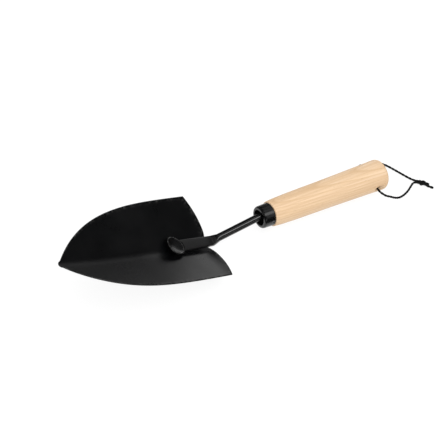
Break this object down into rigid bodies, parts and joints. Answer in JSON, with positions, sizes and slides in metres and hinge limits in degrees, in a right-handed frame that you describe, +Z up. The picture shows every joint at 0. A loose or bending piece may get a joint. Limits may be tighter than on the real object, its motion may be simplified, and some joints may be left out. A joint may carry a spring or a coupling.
{
  "type": "hand trowel",
  "caption": "Hand trowel for digging and planting: a pointed, V-troughed blade riveted to a cranked round tang, a ferruled round wooden handle and a knotted cord loop.",
  "frame": {"origin": "on the surface the trowel lies on, under the middle of the box around the trowel without its cord loop", "axes": "+X along the handle's axis from the blade's tip to the butt, +Y across, +Z up out of the blade's hollow side"},
  "size_m": [0.3695, 0.081, 0.0545],
  "materials": {
    "blade_coat": "matte black powder coat, fine grain",
    "tang_coat": "satin black coat over forged steel",
    "rivet_coat": "satin black coat, worn bright along the rim",
    "ferrule_coat": "semi-gloss black coat over drawn steel",
    "handle_wood": "pale straight-grained hardwood, sanded and lightly oiled",
    "cord": "thin black twisted cord"
  },
  "bodies": {
    "trowel": {"blade": "blade_coat", "tang": "tang_coat", "rivet": "rivet_coat", "ferrule": "ferrule_coat", "handle": "handle_wood"},
    "lanyard": {"cord_near_side": "cord", "cord_far_side": "cord", "cord_long_tail": "cord", "cord_short_tail": "cord", "cord_knot": "cord"}
  },
  "joints": [
    {"name": "lanyard_swing", "type": "hinge", "parent": "trowel", "child": "lanyard", "pos_m": [0.15004, 0, 0.0134], "axis": [0, -1, 0], "range_deg": [0, 160]}
  ]
}
